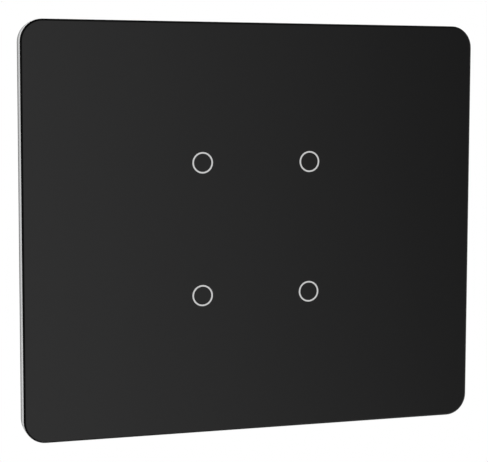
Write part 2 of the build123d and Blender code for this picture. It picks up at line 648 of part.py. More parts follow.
# Each pole: contact strip to the board, rising clamp around it, and the screw
clamp_width = pocket_width - 2 * CLAMP_CLEARANCE
clamp_inner_width = clamp_width - 2 * CLAMP_WALL
contact_width = clamp_inner_width - 2 * CLAMP_CLEARANCE
contact_start = block_bottom + BLOCK_WALL + CLAMP_CLEARANCE
leg_top = block_bottom + BLOCK_WALL + pocket_height
leg_middle = leg_top - CONTACT_THICKNESS / 2
for pole, x in enumerate(terminal_places, start=1):
    with BuildPart() as terminal_contact:
        with BuildSketch(at_depth(contact_rear)):
            with Locations((x, (contact_start + leg_top) / 2)):
                Rectangle(contact_width, leg_top - contact_start)
        extrude(amount=CONTACT_THICKNESS)
        with BuildSketch(at_depth(contact_rear)):
            with Locations((x, leg_middle)):
                Rectangle(contact_width, CONTACT_THICKNESS)
        extrude(amount=contact_rear - power_board_rear)
        with BuildSketch(at_depth(power_board_rear)):
            with Locations((x, leg_middle)):
                Rectangle(CONTACT_TAIL_WIDTH, CONTACT_THICKNESS)
        extrude(amount=POWER_BOARD_THICKNESS + CONTACT_TAIL)
    keep(terminal_contact, f"terminal_contact_{pole}")

    with BuildPart() as terminal_clamp:
        with BuildSketch(at_depth(clamp_rear)):
            with Locations((x, screw_z)):
                Rectangle(clamp_width, CLAMP_DEPTH)
        extrude(amount=clamp_length)
        with BuildSketch(at_depth(clamp_rear - CLAMP_TOP)):
            with Locations((x, screw_z)):
                Rectangle(clamp_inner_width, 2 * CLAMP_DEPTH)
        extrude(amount=clamp_inside, mode=Mode.SUBTRACT)
        with BuildSketch(at_depth(clamp_rear)):
            with Locations((x, screw_z)):
                Circle(SCREW_DIAMETER / 2 + SCREW_FIT)
        extrude(amount=CLAMP_TOP, mode=Mode.SUBTRACT)
    keep(terminal_clamp, f"terminal_clamp_{pole}")

    with BuildPart() as terminal_screw:
        with BuildSketch(at_depth(head_seat + SCREW_HEAD_HEIGHT)):
            with Locations((x, screw_z)):
                Circle(SCREW_HEAD_DIAMETER / 2)
        extrude(amount=SCREW_HEAD_HEIGHT)
        with BuildSketch(at_depth(head_seat)):
            with Locations((x, screw_z)):
                Circle(SCREW_DIAMETER / 2)
        extrude(amount=head_seat - contact_rear)
        with BuildSketch(at_depth(head_seat + SCREW_HEAD_HEIGHT)):
            with Locations((x, screw_z)):
                Rectangle(SCREW_HEAD_DIAMETER, SCREW_SLOT_WIDTH)
        extrude(amount=SCREW_SLOT_DEPTH, mode=Mode.SUBTRACT)
    keep(terminal_screw, f"terminal_screw_{pole}")

# Power board with a hole for each contact tail and each lead
with BuildPart() as power_board:
    with BuildSketch(at_depth(power_board_rear)):
        notched_outline(housing_inner_width - 2 * BOARD_CLEARANCE,
                        housing_inner_height - 2 * BOARD_CLEARANCE, housing_notch)
        with Locations(*[(x, leg_middle) for x in terminal_places]):
            Rectangle(CONTACT_TAIL_WIDTH + 2 * CONTACT_HOLE_GAP, CONTACT_THICKNESS + 2 * CONTACT_HOLE_GAP,
                      mode=Mode.SUBTRACT)
        for place in relay_places:
            four_leads(place, relay_lead_x, relay_lead_z, lead_hole, Mode.SUBTRACT)
        four_leads((module_x, mid_middle), module_lead_x, module_lead_z, lead_hole, Mode.SUBTRACT)
        two_leads((capacitor_x, mid_middle), CAPACITOR_LEAD_SPACING, lead_hole, Mode.SUBTRACT)
        two_leads((varistor_x, mid_middle), VARISTOR_LEAD_SPACING, lead_hole, Mode.SUBTRACT)
        two_leads((fuse_x, mid_middle), FUSE_LEAD_SPACING, lead_hole, Mode.SUBTRACT)
    extrude(amount=POWER_BOARD_THICKNESS)
keep(power_board, "power_board")

# Rear housing with screw columns, board rests, vents and the opening for the terminal block
rest_places = [
    (side * (housing_inner_width - BOARD_REST_DEPTH) / 2, z)
    for side in (-1, 1) for z in (relay_middle, low_rest_middle)
]
screw_head_seat = housing_depth - LONG_SCREW_RECESS - LONG_SCREW_HEAD_HEIGHT
head_hole = LONG_SCREW_HEAD_DIAMETER / 2 + LONG_SCREW_CLEARANCE
with BuildPart() as rear_housing:
    with BuildSketch(at_depth(housing_depth)):
        RectangleRounded(housing_width, housing_height, HOUSING_CORNER_RADIUS)
    extrude(amount=housing_depth)
    chamfer(rear_housing.faces().sort_by(Axis.Y)[-1].edges(), length=HOUSING_EDGE_CHAMFER)
    with BuildSketch(at_depth(housing_depth - HOUSING_WALL)):
        notched_outline(housing_inner_width, housing_inner_height, housing_notch)
    extrude(amount=housing_depth - HOUSING_WALL, mode=Mode.SUBTRACT)
    with BuildSketch(at_depth(housing_depth - HOUSING_WALL)):
        with Locations(*rest_places):
            Rectangle(BOARD_REST_DEPTH, BOARD_REST_WIDTH)
    extrude(amount=housing_depth - HOUSING_WALL - power_board_rear)
    with BuildSketch(at_depth(housing_depth)):
        with Locations((0, block_bottom)):
            Rectangle(block_width + 2 * BLOCK_CLEARANCE, 2 * (block_height + BLOCK_CLEARANCE))
    extrude(amount=housing_depth - power_board_rear + BLOCK_CLEARANCE, mode=Mode.SUBTRACT)
    with BuildSketch(at_depth(LEG_REACH + LEG_FIT)):
        with Locations(*leg_places):
            Rectangle(leg_hole, leg_hole)
    extrude(amount=LEG_REACH + LEG_FIT, mode=Mode.SUBTRACT)
    with BuildSketch(at_depth(housing_depth)):
        with Locations(*screw_places):
            Circle(head_hole)
    extrude(amount=housing_depth - screw_head_seat, mode=Mode.SUBTRACT)
    with BuildSketch(at_depth(housing_depth)):
        with Locations(*screw_places):
            Circle(long_screw_hole)
    extrude(amount=housing_depth, mode=Mode.SUBTRACT)
    with BuildSketch(at_depth(housing_depth)):
        with Locations((0, relay_middle)):
            with GridLocations(2 * relay_step_x, VENT_PITCH, 2, VENT_ROWS):
                Rectangle(VENT_LENGTH, VENT_WIDTH)
    extrude(amount=HOUSING_WALL, mode=Mode.SUBTRACT)
keep(rear_housing, "rear_housing")

# Two long screws from the rear, through housing and yoke, into the cover
with BuildPart() as housing_screws:
    with BuildSketch(at_depth(screw_head_seat + LONG_SCREW_HEAD_HEIGHT)):
        with Locations(*screw_places):
            Circle(LONG_SCREW_HEAD_DIAMETER / 2)
    extrude(amount=LONG_SCREW_HEAD_HEIGHT)
    with BuildSketch(at_depth(screw_head_seat)):
        with Locations(*screw_places):
            Circle(LONG_SCREW_DIAMETER / 2)
    extrude(amount=screw_head_seat - yoke_front + LONG_SCREW_GRIP)
    with BuildSketch(at_depth(screw_head_seat + LONG_SCREW_HEAD_HEIGHT)):
        with Locations(*screw_places):
            Rectangle(LONG_SCREW_HEAD_DIAMETER, LONG_SCREW_SLOT_WIDTH)
    extrude(amount=LONG_SCREW_SLOT_DEPTH, mode=Mode.SUBTRACT)
keep(housing_screws, "housing_screws")
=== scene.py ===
import bmesh
import bpy
import math
from mathutils import Matrix, Vector


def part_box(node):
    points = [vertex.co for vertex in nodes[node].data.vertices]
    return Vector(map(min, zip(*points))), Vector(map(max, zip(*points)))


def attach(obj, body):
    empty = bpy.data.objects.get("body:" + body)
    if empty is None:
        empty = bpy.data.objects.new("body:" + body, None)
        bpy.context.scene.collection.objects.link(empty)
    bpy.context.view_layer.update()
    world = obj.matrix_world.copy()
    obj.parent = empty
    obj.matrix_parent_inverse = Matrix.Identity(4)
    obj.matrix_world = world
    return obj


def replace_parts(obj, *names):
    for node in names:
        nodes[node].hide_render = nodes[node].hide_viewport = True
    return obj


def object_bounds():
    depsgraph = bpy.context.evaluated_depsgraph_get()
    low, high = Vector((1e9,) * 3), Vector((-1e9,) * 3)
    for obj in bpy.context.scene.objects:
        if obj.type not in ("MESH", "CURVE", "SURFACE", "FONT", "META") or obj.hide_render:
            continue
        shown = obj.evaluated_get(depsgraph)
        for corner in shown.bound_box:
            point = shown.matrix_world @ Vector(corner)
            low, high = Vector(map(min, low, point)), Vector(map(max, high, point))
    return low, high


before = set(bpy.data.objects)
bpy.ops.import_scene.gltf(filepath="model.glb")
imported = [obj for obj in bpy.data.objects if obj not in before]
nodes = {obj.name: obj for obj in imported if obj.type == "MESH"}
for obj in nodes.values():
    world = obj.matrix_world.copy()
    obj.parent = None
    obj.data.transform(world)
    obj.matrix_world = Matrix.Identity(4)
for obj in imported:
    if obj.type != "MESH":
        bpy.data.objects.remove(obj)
cad_low, cad_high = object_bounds()

# How often the numbered parts repeat
GANGS = 4
PEGS = 4
TERMINALS = 6
HEADER_PINS = 6

# Photograph and camera, in metres and degrees. The camera stands left of the plate and a little above it.
LENS_MM = 110.398
SENSOR_MM = 36.0
CAMERA_PLACE = (-0.10190, -0.30643, 0.02772)
CAMERA_YAW = 18.423
CAMERA_PITCH = 5.151
CAMERA_ROLL = 0.161
VIEW_NEAR = 0.01
VIEW_FAR = 20.0

# Floor: sizes in metres, sides of its rim, and its grey
FLOOR_DROP = 0.115
FLOOR_RADIUS = 0.30
FLOOR_PLAIN_RADIUS = 0.13
FLOOR_SIDES = 64
FLOOR_GREY = 0.90
FLOOR_GREY_CHANGE = 0.01

# Softboxes: the side of each in metres, then name, place in metres and power in watts
SOFTBOX_SIZE = 0.5
SOFTBOXES = (
    ("left_softbox", (-0.55, -0.55, 0.35), 3.7),
    ("upper_softbox", (-0.20, -0.60, 0.60), 2.4),
    ("rear_softbox", (0.35, 0.60, 0.45), 4.6),
)

# Studio walls: how bright each is, and between which directions, from -1 to 1 along an axis, it fades
FILL_LEVEL = 0.45
BACKDROP_FADE = (0.40, 0.62)
WALL_LEVEL = 0.71
WALL_TILT = 0.17
RIGHT_FADE = (0.0, 0.66)
RIGHT_SHARE = 0.02
LEFT_FADE = (-0.75, -0.25)
LEFT_SHARE = 0.05
OVERHEAD_FADE = (0.15, 0.75)
OVERHEAD_SHARE = 0.06
SIDE_LEVEL = 0.5
SIDE_FADE = (0.25, 0.75)

# Glass: a face belongs to the front, or to the bevel, where its normal leans at least this far to the room
FLAT_LEAN = 0.95
BEVEL_LEAN = 0.3

# Ground edge of the glass, in metres: how far it stays pale behind the front, and its rear bevel
PALE_EDGE = 0.0010
REAR_ARRIS = 0.0002

# Leads, spring feet and contact tails, in metres
LEAD_TOUCH = 0.00002
LEAD_INSET = 0.0016
CAPACITOR_LEAD_SPACING = 0.010
DISC_LEAD_SPACING = 0.005
SPRING_FOOT_INSET = 0.0018
SPRING_FOOT_HALF_WIDTH = 0.0015
CONTACT_HALF_THICKNESS = 0.0004

# Solder joints: sizes in metres, with the width as a multiple of the height along the board's face
PAD_JOINT = {"Joint Radius": 0.00055, "Joint Height": 0.0004}
PIN_JOINT = {"Foot Radius": 0.0008, "Neck Radius": 0.00038, "Joint Height": 0.00045, "Width": 1.0}
LEAD_JOINT = {"Foot Radius": 0.00062, "Neck Radius": 0.00045, "Joint Height": 0.0007, "Width": 1.0}
TAIL_JOINT = {"Foot Radius": 0.00115, "Neck Radius": 0.00058, "Joint Height": 0.0008, "Width": 2.0}

# Solder meshes: share that a flank is hollowed at half height, faces round and up a joint, least sharp fold
JOINT_HOLLOW = 0.1
JOINT_SIDES = 16
JOINT_RINGS = 6
JOINT_FOLD = math.radians(45.0)

# Screws, in metres: head height, shank diameter, thread pitch and thread depth
TERMINAL_SCREW = {"head": 0.0018, "shank": 0.0026, "pitch": 0.00045, "depth": 0.00026}
HOUSING_SCREW = {"head": 0.0015, "shank": 0.0022, "pitch": 0.0008, "depth": 0.00034}
SCREW_HEAD_RADIUS = 0.0019

# Screw meshes: points round a turn, turns to cut off, welding distance in metres, and least sharp fold
THREAD_SEGMENTS = 24
SPARE_TURNS = 2
WELD = 0.000001
SCREW_FOLD = math.radians(30.0)

# Grain sizes of the finishes, as repeats per metre, and the noise that they share
FINE_GRAIN = 5200.0
COARSE_GRAIN = 900.0
CLOUD = 55.0
NOISE_ROUGHNESS = 0.55
NOISE_LOW = 0.3
NOISE_HIGH = 0.7

# Circuit boards: repeats per metre, then the tracks and pads as parts of one repeat of their grid
TRACK_GRID = 400.0
PATCH_GRID = 95.0
PAD_GRID = 220.0
TRACK_PITCH = 0.36
TRACK_LENGTH = 3.6
TRACK_HALF_GAP = 0.11
PAD_RIM = (0.065, 0.08)
PAD_SCATTER = 0.8


def rows(stem, count):
    """Names of numbered nodes, such as relay_1 to relay_4."""
    return [f"{stem}_{number}" for number in range(1, count + 1)]


class NodeWork:
    """A node tree under construction, with short calls for what materials, world and patterns share."""

    def __init__(self, tree):
        self.tree = tree

    def add(self, kind, settings=None, **links):
        """New node; settings are its own options, links its inputs, each a value or another output."""
        node = self.tree.nodes.new(kind)
        for option, value in (settings or {}).items():
            setattr(node, option, value)
        for socket, value in links.items():
            self.feed(node.inputs[socket.replace("_", " ")], value)
        return node

    def feed(self, socket, value):
        """Give an input a plain value or another node's output."""
        if isinstance(value, bpy.types.NodeSocket):
            self.tree.links.new(value, socket)
        else:
            socket.default_value = value

    def combine(self, operation, *values):
        """Work through the values with one operation, from the first to the last."""
        result = values[0]
        for value in values[1:]:
            node = self.add("ShaderNodeMath", {"operation": operation})
            self.feed(node.inputs[0], result)
            self.feed(node.inputs[1], value)
            result = node.outputs["Value"]
        return result

    def function(self, operation, value):
        """One operation on one value."""
        return self.add("ShaderNodeMath", {"operation": operation}, Value=value).outputs["Value"]

    def axes(self, vector):
        """The X, Y and Z outputs of a vector."""
        return self.add("ShaderNodeSeparateXYZ", Vector=vector).outputs

    def spread(self, value, low, high, to_low=0.0, to_high=1.0, easing="LINEAR"):
        """Map a value from low..high to to_low..to_high, held at both ends."""
        return self.add("ShaderNodeMapRange", {"interpolation_type": easing}, Value=value, From_Min=low,
                        From_Max=high, To_Min=to_low, To_Max=to_high).outputs["Result"]


class Finish(NodeWork):
    """A material under construction."""

    def __init__(self, name, colour, roughness, **shader_values):
        self.material = bpy.data.materials.new(name)
        self.material.use_nodes = True
        super().__init__(self.material.node_tree)
        self.shader = self.tree.nodes["Principled BSDF"]
        self.shader.inputs["Base Color"].default_value = (*colour, 1.0)
        self.shader.inputs["Roughness"].default_value = roughness
        for socket, value in shader_values.items():
            self.shader.inputs[socket.replace("_", " ")].default_value = value
        self.place = self.add("ShaderNodeTexCoord").outputs["Object"]

    def stretch(self, scale=(1.0, 1.0, 1.0), turn=(0.0, 0.0, 0.0)):
        """Object coordinates, turned and stretched."""
        return self.add("ShaderNodeMapping", Vector=self.place, Rotation=turn,
                        Scale=scale).outputs["Vector"]

    def noise(self, scale, detail=3.0, vector=None):
        """Cloudy grey, mostly between NOISE_LOW and NOISE_HIGH."""
        return self.add("ShaderNodeTexNoise", Vector=vector or self.place, Scale=scale, Detail=detail,
                        Roughness=NOISE_ROUGHNESS).outputs["Fac"]

    def cells(self, scale, output="Distance"):
        """Cells, such as pits, pores or crystals."""
        return self.add("ShaderNodeTexVoronoi", Vector=self.place, Scale=scale).outputs[output]

    def vary(self, noise, low, high):
        """Use a noise to vary a value between low and high."""
        return self.spread(noise, NOISE_LOW, NOISE_HIGH, low, high)

    def blend(self, amount, first, second):
        """Colour between first and second."""
        node = self.add("ShaderNodeMix", {"data_type": "RGBA"})
        self.feed(node.inputs["Factor"], amount)
        for socket, colour in ((node.inputs[6], first), (node.inputs[7], second)):
            self.feed(socket, colour if isinstance(colour, bpy.types.NodeSocket) else (*colour, 1.0))
        return node.outputs[2]

    def colour(self, value):
        """Colour that changes over the surface."""
        self.feed(self.shader.inputs["Base Color"], value)

    def gloss(self, value):
        """Roughness that changes over the surface."""
        self.feed(self.shader.inputs["Roughness"], value)

    def relief(self, height, depth, strength=1.0):
        """Bump of this depth in metres."""
        bump = self.add("ShaderNodeBump", Height=height, Distance=depth, Strength=strength)
        self.feed(self.shader.inputs["Normal"], bump.outputs["Normal"])


class Pattern(NodeWork):
    """A Geometry Nodes tree under construction, which puts one shape at every point it is given."""

    def __init__(self, name, *sizes):
        super().__init__(bpy.data.node_groups.new(name, "GeometryNodeTree"))
        interface = self.tree.interface
        interface.new_socket("Geometry", in_out="INPUT", socket_type="NodeSocketGeometry")
        self.sizes = {size: interface.new_socket(size, in_out="INPUT", socket_type="NodeSocketFloat")
                      for size in sizes}
        interface.new_socket("Geometry", in_out="OUTPUT", socket_type="NodeSocketGeometry")
        self.given = self.add("NodeGroupInput").outputs

    def repeat(self, shape, material):
        """Close the tree: the shape at every point, as real faces with their material."""
        points = self.add("GeometryNodeMeshToPoints", Mesh=self.given["Geometry"])
        copies = self.add("GeometryNodeInstanceOnPoints", Points=points.outputs["Points"], Instance=shape)
        faces = self.add("GeometryNodeRealizeInstances", Geometry=copies.outputs["Instances"])
        finished = self.add("GeometryNodeSetMaterial", Geometry=faces.outputs["Geometry"],
                            Material=material)
        self.add("NodeGroupOutput", Geometry=finished.outputs["Geometry"])

    def run(self, name, points, sizes):
        """Plain mesh of the shape at these points, with a value for each named size."""
        seeds = bpy.data.meshes.new(name + "_points")
        seeds.from_pydata(points, [], [])
        carrier = bpy.data.objects.new(name + "_carrier", seeds)
        bpy.context.scene.collection.objects.link(carrier)
        modifier = carrier.modifiers.new("pattern", "NODES")
        modifier.node_group = self.tree
        for size, value in sizes.items():
            modifier[self.sizes[size].identifier] = value
        evaluated = carrier.evaluated_get(bpy.context.evaluated_depsgraph_get())
        mesh = bpy.data.meshes.new_from_object(evaluated)
        carrier.modifiers.remove(modifier)
        bpy.data.objects.remove(carrier)
        return mesh


def black_glass():
    """Polished glass over black print: nearly black, with faint cleaning smears in the gloss."""
    finish = Finish("black_glass_front", (0.0045, 0.0045, 0.0046), 0.03, IOR=1.5)
    smears = finish.noise(CLOUD, 4.0, finish.stretch((1.0, 1.0, 0.35), turn=(0.0, 0.5, 0.0)))
    finish.colour(finish.blend(smears, (0.0040, 0.0040, 0.0041), (0.0052, 0.0052, 0.0053)))
    finish.gloss(finish.spread(smears, 0.3, 0.8, 0.015, 0.06))
    return finish.material


def polished_arris():
    """Narrow bevel round the front of the glass, with fine wheel marks."""
    finish = Finish("polished_arris", (0.002, 0.002, 0.002), 0.2, IOR=1.5, Specular_IOR_Level=0.05)
    wheel = finish.noise(COARSE_GRAIN, 2.0)
    finish.colour(finish.blend(wheel, (0.0015, 0.0015, 0.0015), (0.0030, 0.0030, 0.0030)))
    finish.gloss(finish.vary(wheel, 0.14, 0.26))
    return finish.material


def ground_edge():
    """Seamed edge of the glass: pale satin grey with grinding lines, darker towards the rear, partly the
    black print seen through it and partly painted shade where it meets the frame.
    """
    finish = Finish("ground_glass_edge", (0.60, 0.61, 0.61), 0.5, IOR=1.5, Specular_IOR_Level=0.3)
    lines = finish.noise(1.0, 3.0, finish.stretch((260.0, 9000.0, 260.0)))
    patches = finish.noise(CLOUD * 3, 3.0)
    shade = finish.spread(finish.combine("ADD", lines, patches), 0.7, 1.3)
    ground = finish.blend(shade, (0.60, 0.605, 0.61), (0.72, 0.725, 0.725))
    glass_front, glass_rear = (corner.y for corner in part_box("glass_panel"))
    depth = finish.axes(finish.place)["Y"]
    # Darker towards the rear: partly the black print seen through the edge, partly painted shade where the
    # edge meets the frame.
    print_and_painted_shade = finish.spread(depth, glass_front + PALE_EDGE, glass_rear - REAR_ARRIS)
    finish.colour(finish.blend(print_and_painted_shade, ground, (0.28, 0.283, 0.285)))
    finish.gloss(finish.vary(lines, 0.42, 0.6))
    finish.relief(lines, 0.00002, 0.6)
    return finish.material


def black_print():
    """Screen-printed rear of the glass: soft black with a faint mesh."""
    finish = Finish("black_print", (0.010, 0.010, 0.011), 0.55)
    mesh = finish.noise(FINE_GRAIN, 2.0)
    finish.colour(finish.blend(mesh, (0.008, 0.008, 0.009), (0.014, 0.014, 0.015)))
    finish.relief(mesh, 0.00001, 0.5)
    return finish.material


def ring_enamel():
    """Pale grey enamel of the rings, slightly speckled."""
    finish = Finish("ring_enamel", (0.58, 0.58, 0.58), 0.5)
    speckle = finish.noise(FINE_GRAIN, 2.0)
    finish.colour(finish.blend(speckle, (0.53, 0.53, 0.53), (0.615, 0.615, 0.615)))
    finish.relief(speckle, 0.00001, 0.4)
    return finish.material


def foam_tape():
    """Dark bonding foam with open cells on its cut edge."""
    finish = Finish("foam_tape", (0.03, 0.03, 0.03), 0.9)
    cells = finish.cells(4200.0)
    finish.colour(finish.blend(cells, (0.012, 0.012, 0.012), (0.05, 0.05, 0.05)))
    finish.relief(cells, 0.00006, 0.7)
    return finish.material


def moulded_plastic(name, dark, light, roughness, sheen=0.5):
    """Moulded plastic: spark-eroded grain, and slow colour changes where the melt flowed."""
    finish = Finish(name, light, roughness, Specular_IOR_Level=sheen)
    grain = finish.noise(FINE_GRAIN, 3.0)
    flow = finish.noise(CLOUD, 2.0, finish.stretch((1.0, 1.0, 0.5)))
    shade = finish.combine("ADD", finish.vary(flow, 0.0, 0.6), finish.vary(grain, 0.0, 0.4))
    finish.colour(finish.blend(shade, dark, light))
    finish.gloss(finish.vary(flow, roughness - 0.06, roughness + 0.06))
    finish.relief(grain, 0.000025, 0.7)
    return finish.material


def gloss_case(name, dark, light):
    """Smooth case of a board part, with shallow sink marks."""
    finish = Finish(name, light, 0.28)
    sink = finish.noise(CLOUD * 3, 2.0)
    finish.colour(finish.blend(sink, dark, light))
    finish.gloss(finish.vary(sink, 0.2, 0.36))
    finish.relief(sink, 0.0001, 0.3)
    return finish.material


def rubber():
    """Matt rubber with a fine grain and a little bloom."""
    finish = Finish("grommet_rubber", (0.02, 0.02, 0.02), 0.8)
    bloom = finish.noise(CLOUD * 8, 4.0)
    grain = finish.noise(FINE_GRAIN, 2.0)
    finish.colour(finish.blend(bloom, (0.014, 0.014, 0.014), (0.035, 0.035, 0.034)))
    finish.gloss(finish.vary(bloom, 0.7, 0.9))
    finish.relief(grain, 0.00003, 0.7)
    return finish.material


def zinc_steel():
    """Zinc plate on rolled steel: patchy crystals under faint rolling lines."""
    finish = Finish("zinc_plated_steel", (0.62, 0.63, 0.65), 0.36, Metallic=1.0)
    rolling = finish.noise(1.0, 3.0, finish.stretch((60.0, 4000.0, 4000.0)))
    crystals = finish.cells(420.0, "Color")
    tone = finish.add("ShaderNodeSeparateColor", Color=crystals).outputs["Red"]
    shade = finish.combine("ADD", finish.spread(tone, 0.0, 1.0, 0.0, 0.55), finish.vary(rolling, 0.0, 0.45))
    finish.colour(finish.blend(shade, (0.50, 0.51, 0.53), (0.72, 0.73, 0.75)))
    finish.gloss(finish.spread(shade, 0.0, 1.0, 0.46, 0.28))
    finish.relief(rolling, 0.00001, 0.5)
    return finish.material


def spring_steel():
    """Bright stamped strip with drawing lines."""
    finish = Finish("spring_strip", (0.76, 0.75, 0.72), 0.24, Metallic=1.0)
    lines = finish.noise(1.0, 2.0, finish.stretch((90.0, 6000.0, 6000.0)))
    finish.colour(finish.blend(lines, (0.64, 0.63, 0.60), (0.84, 0.83, 0.80)))
    finish.gloss(finish.vary(lines, 0.2, 0.36))
    return finish.material


def brass():
    """Yellow brass, dulled in patches, with turning marks."""
    finish = Finish("terminal_brass", (0.75, 0.58, 0.28), 0.3, Metallic=1.0)
    tarnish = finish.noise(CLOUD * 12, 4.0)
    marks = finish.noise(FINE_GRAIN, 2.0)
    finish.colour(finish.blend(finish.spread(tarnish, 0.35, 0.75), (0.80, 0.63, 0.32), (0.58, 0.42, 0.20)))
    finish.gloss(finish.spread(tarnish, 0.3, 0.75, 0.24, 0.45))
    finish.relief(marks, 0.00001, 0.4)
    return finish.material


def solder():
    """Soft bright solder with a slightly frosted skin."""
    finish = Finish("solder", (0.70, 0.71, 0.72), 0.3, Metallic=1.0)
    frost = finish.noise(FINE_GRAIN, 3.0)
    finish.colour(finish.blend(frost, (0.60, 0.61, 0.62), (0.80, 0.81, 0.82)))
    finish.gloss(finish.vary(frost, 0.2, 0.45))
    return finish.material


def circuit_board():
    """Green solder mask over copper tracks, which change direction from patch to patch, and tinned pads."""
    finish = Finish("circuit_board", (0.02, 0.16, 0.07), 0.35)
    across, upright = (math.pi / 2, 0.0, 0.0), (math.pi / 2, 0.0, math.pi / 2)
    black, white = (0.0, 0.0, 0.0, 1.0), (1.0, 1.0, 1.0, 1.0)

    def tracks(turn):
        """Straight tracks of uneven length, with some left out."""
        lines = finish.add("ShaderNodeTexBrick", {"offset": 0.37, "squash": 0.7, "squash_frequency": 3},
                           Vector=finish.stretch(turn=turn), Color1=black, Color2=white, Mortar=black,
                           Scale=TRACK_GRID, Mortar_Size=TRACK_HALF_GAP, Brick_Width=TRACK_LENGTH,
                           Row_Height=TRACK_PITCH)
        return finish.spread(lines.outputs["Color"], 0.40, 0.45)

    board_face = finish.stretch(turn=across)
    patches = finish.add("ShaderNodeTexVoronoi", {"voronoi_dimensions": "2D", "distance": "CHEBYCHEV"},
                         Vector=board_face, Scale=PATCH_GRID)
    turned = finish.spread(patches.outputs["Color"], 0.49, 0.51)
    straight = finish.combine("SUBTRACT", 1.0, turned)
    copper = finish.combine("ADD", finish.combine("MULTIPLY", straight, tracks(across)),
                            finish.combine("MULTIPLY", turned, tracks(upright)))
    dots = finish.add("ShaderNodeTexVoronoi", {"voronoi_dimensions": "2D"}, Vector=board_face,
                      Scale=PAD_GRID, Randomness=PAD_SCATTER)
    pads = finish.spread(dots.outputs["Distance"], *PAD_RIM, 1.0, 0.0)
    weave = finish.noise(FINE_GRAIN / 2, 2.0)
    laminate = finish.blend(weave, (0.008, 0.085, 0.032), (0.014, 0.125, 0.05))
    masked = finish.blend(copper, laminate, (0.035, 0.23, 0.085))
    finish.colour(finish.blend(pads, masked, (0.62, 0.62, 0.58)))
    finish.gloss(finish.vary(weave, 0.28, 0.42))
    finish.relief(finish.combine("MAXIMUM", copper, pads), 0.00003, 0.7)
    return finish.material


def fibre_sheet():
    """Tan fibre paper with short crossed fibres."""
    finish = Finish("fibre_sheet", (0.55, 0.45, 0.28), 0.85)
    one_way = finish.noise(1.0, 2.0, finish.stretch((500.0, 500.0, 5000.0), turn=(0.0, 0.4, 0.0)))
    other_way = finish.noise(1.0, 2.0, finish.stretch((5000.0, 500.0, 500.0), turn=(0.0, -0.5, 0.0)))
    fibres = finish.combine("MULTIPLY", one_way, other_way)
    finish.colour(finish.blend(finish.spread(fibres, 0.12, 0.4), (0.44, 0.34, 0.20), (0.64, 0.54, 0.36)))
    finish.relief(fibres, 0.00004, 0.6)
    return finish.material


def lamp_lens():
    """Pale lens of the indicator lamps, yellower where the phosphor sits."""
    finish = Finish("lamp_lens", (0.85, 0.83, 0.62), 0.2)
    phosphor = finish.noise(2200.0, 3.0)
    finish.colour(finish.blend(finish.spread(phosphor, 0.35, 0.65), (0.82, 0.74, 0.30), (0.88, 0.86, 0.72)))
    finish.relief(phosphor, 0.00002, 0.4)
    return finish.material


def dipped_epoxy():
    """Blue dipped coat with runs and small pits."""
    finish = Finish("dipped_epoxy", (0.05, 0.16, 0.38), 0.3)
    runs = finish.noise(CLOUD * 6, 3.0)
    pits = finish.cells(1400.0)
    finish.colour(finish.blend(runs, (0.03, 0.11, 0.28), (0.07, 0.21, 0.46)))
    finish.gloss(finish.vary(runs, 0.22, 0.4))
    finish.relief(finish.combine("ADD", runs, finish.spread(pits, 0.0, 0.25)), 0.00008, 0.5)
    return finish.material


def wear(node, material):
    """Give a CAD node one finish."""
    mesh = nodes[node].data
    mesh.materials.clear()
    mesh.materials.append(material)


def finish_of(node):
    """The finish that a CAD node wears."""
    return nodes[node].data.materials[0]


def wear_leads(node, case, leads):
    """Give a board part its case finish, and another to the leads that go through the power board."""
    mesh = nodes[node].data
    mesh.materials.clear()
    mesh.materials.append(case)
    mesh.materials.append(leads)
    case_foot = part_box("power_board")[1].y
    for face in mesh.polygons:
        face.material_index = 1 if face.center.y < case_foot - LEAD_TOUCH else 0


def dress_glass():
    """The glass wears four finishes, chosen by the way each face points."""
    mesh = nodes["glass_panel"].data
    mesh.materials.clear()
    for material in (black_glass(), polished_arris(), ground_edge(), black_print()):
        mesh.materials.append(material)
    for face in mesh.polygons:
        towards_room = -face.normal.y
        if towards_room > FLAT_LEAN:
            face.material_index = 0
        elif towards_room > BEVEL_LEAN:
            face.material_index = 1
        elif towards_room > -FLAT_LEAN:
            face.material_index = 2
        else:
            face.material_index = 3


